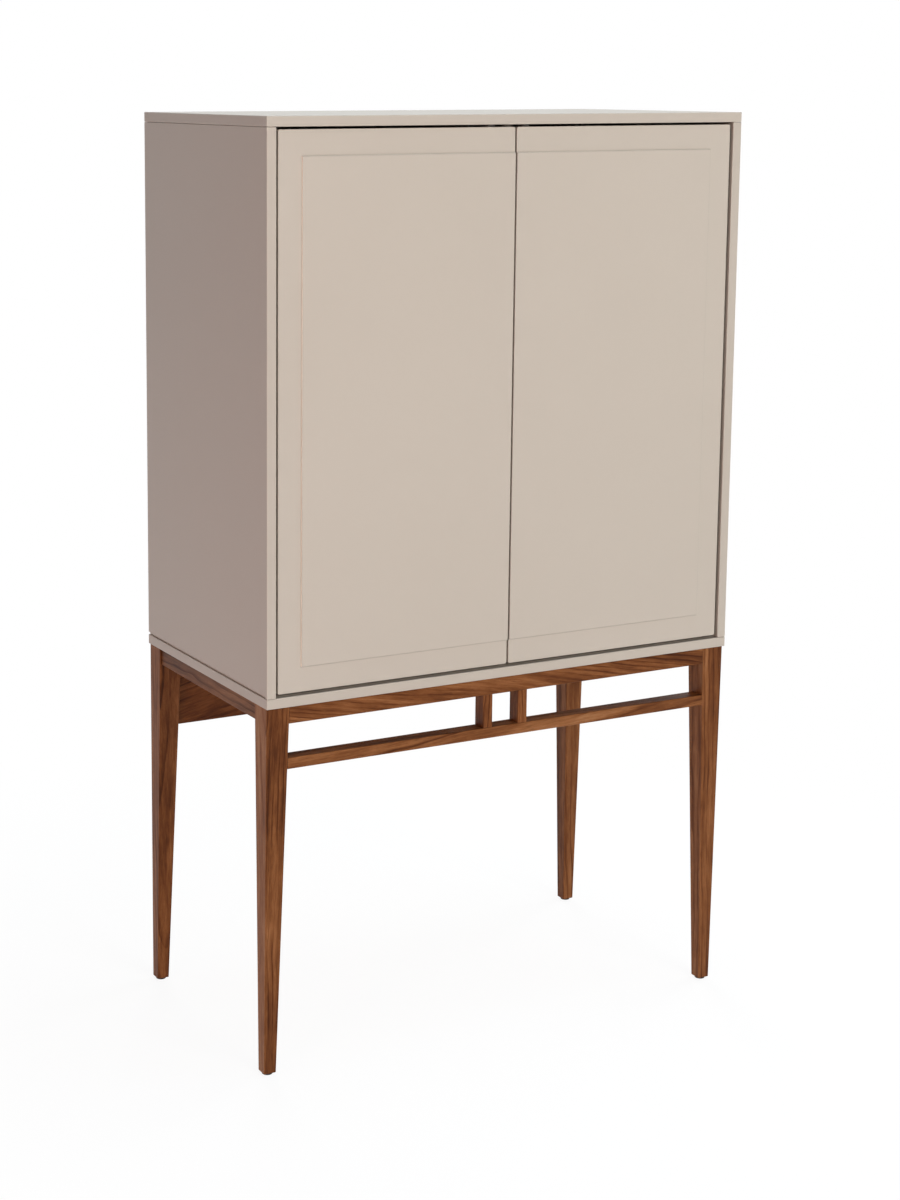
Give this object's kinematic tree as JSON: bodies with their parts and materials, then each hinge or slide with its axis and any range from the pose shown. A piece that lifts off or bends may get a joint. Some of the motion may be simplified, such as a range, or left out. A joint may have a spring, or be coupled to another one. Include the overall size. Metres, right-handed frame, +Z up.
{
  "type": "tall cabinet on stand",
  "caption": "Tall lacquered cupboard with inset handle-less push-to-open doors, shelved bays and an open timber stand with tapered legs.",
  "frame": {"origin": "on the floor under the middle of the cabinet's overall box", "axes": "+Z up, +X to the right as seen from the front, the doors face -Y"},
  "size_m": [0.87, 0.455, 1.5],
  "materials": {
    "taupe_lacquer": "satin taupe lacquer over board",
    "backing_board": "matt painted board",
    "walnut": "oiled walnut, satin",
    "nickelled_steel": "nickel plated",
    "cast_zinc": "nickel plated die-cast zinc",
    "grey_plastic": "moulded",
    "plunger_plastic": "moulded",
    "dark_plastic": "moulded"
  },
  "bodies": {
    "cabinet": {"back_panel": "backing_board", "bottom_board": "taupe_lacquer", "centre_divider": "taupe_lacquer", "front_apron": "walnut", "front_left_glide": "dark_plastic", "front_left_leg": "walnut", "front_right_glide": "dark_plastic", "front_right_leg": "walnut", "front_stretcher": "walnut", "left_apron": "walnut", "left_latch_housing": "grey_plastic", "left_lower_hinge_arm": "nickelled_steel", "left_lower_hinge_plate": "cast_zinc", "left_lower_shelf": "taupe_lacquer", "left_side_panel": "taupe_lacquer", "left_spindle": "walnut", "left_upper_hinge_arm": "nickelled_steel", "left_upper_hinge_plate": "cast_zinc", "left_upper_shelf": "taupe_lacquer", "rear_apron": "walnut", "rear_left_glide": "dark_plastic", "rear_left_leg": "walnut", "rear_right_glide": "dark_plastic", "rear_right_leg": "walnut", "right_apron": "walnut", "right_latch_housing": "grey_plastic", "right_lower_hinge_arm": "nickelled_steel", "right_lower_hinge_plate": "cast_zinc", "right_lower_shelf": "taupe_lacquer", "right_side_panel": "taupe_lacquer", "right_spindle": "walnut", "right_upper_hinge_arm": "nickelled_steel", "right_upper_hinge_plate": "cast_zinc", "right_upper_shelf": "taupe_lacquer", "shelf_pin_left_lower_back": "nickelled_steel", "shelf_pin_left_lower_front": "nickelled_steel", "shelf_pin_left_upper_back": "nickelled_steel", "shelf_pin_left_upper_front": "nickelled_steel", "shelf_pin_middle_lower_back": "nickelled_steel", "shelf_pin_middle_lower_front": "nickelled_steel", "shelf_pin_middle_upper_back": "nickelled_steel", "shelf_pin_middle_upper_front": "nickelled_steel", "shelf_pin_right_lower_back": "nickelled_steel", "shelf_pin_right_lower_front": "nickelled_steel", "shelf_pin_right_upper_back": "nickelled_steel", "shelf_pin_right_upper_front": "nickelled_steel", "top_board": "taupe_lacquer"},
    "left_door": {"left_door": "taupe_lacquer", "left_lower_hinge_cup": "cast_zinc", "left_lower_hinge_pin": "nickelled_steel", "left_upper_hinge_cup": "cast_zinc", "left_upper_hinge_pin": "nickelled_steel"},
    "right_door": {"right_door": "taupe_lacquer", "right_lower_hinge_cup": "cast_zinc", "right_lower_hinge_pin": "nickelled_steel", "right_upper_hinge_cup": "cast_zinc", "right_upper_hinge_pin": "nickelled_steel"},
    "left_plunger": {"left_latch_plunger": "plunger_plastic"},
    "right_plunger": {"right_latch_plunger": "plunger_plastic"}
  },
  "joints": [
    {"name": "left_door_hinge", "type": "hinge", "parent": "cabinet", "child": "left_door", "pos_m": [-0.3996, -0.2141, 1.0505], "axis": [0, 0, -1], "range_deg": [0, 105]},
    {"name": "right_door_hinge", "type": "hinge", "parent": "cabinet", "child": "right_door", "pos_m": [0.3996, -0.2141, 1.0505], "axis": [0, 0, 1], "range_deg": [0, 105]},
    {"name": "left_plunger_slide", "type": "slide", "parent": "cabinet", "child": "left_plunger", "axis": [0, -1, 0], "range_m": [0, 0.014]},
    {"name": "right_plunger_slide", "type": "slide", "parent": "cabinet", "child": "right_plunger", "axis": [0, -1, 0], "range_m": [0, 0.014]}
  ],
  "couplings": [
    {"joint": "left_plunger_slide", "follows": "left_door_hinge", "m_per_rad": 0.0076},
    {"joint": "right_plunger_slide", "follows": "right_door_hinge", "m_per_rad": 0.0076}
  ]
}
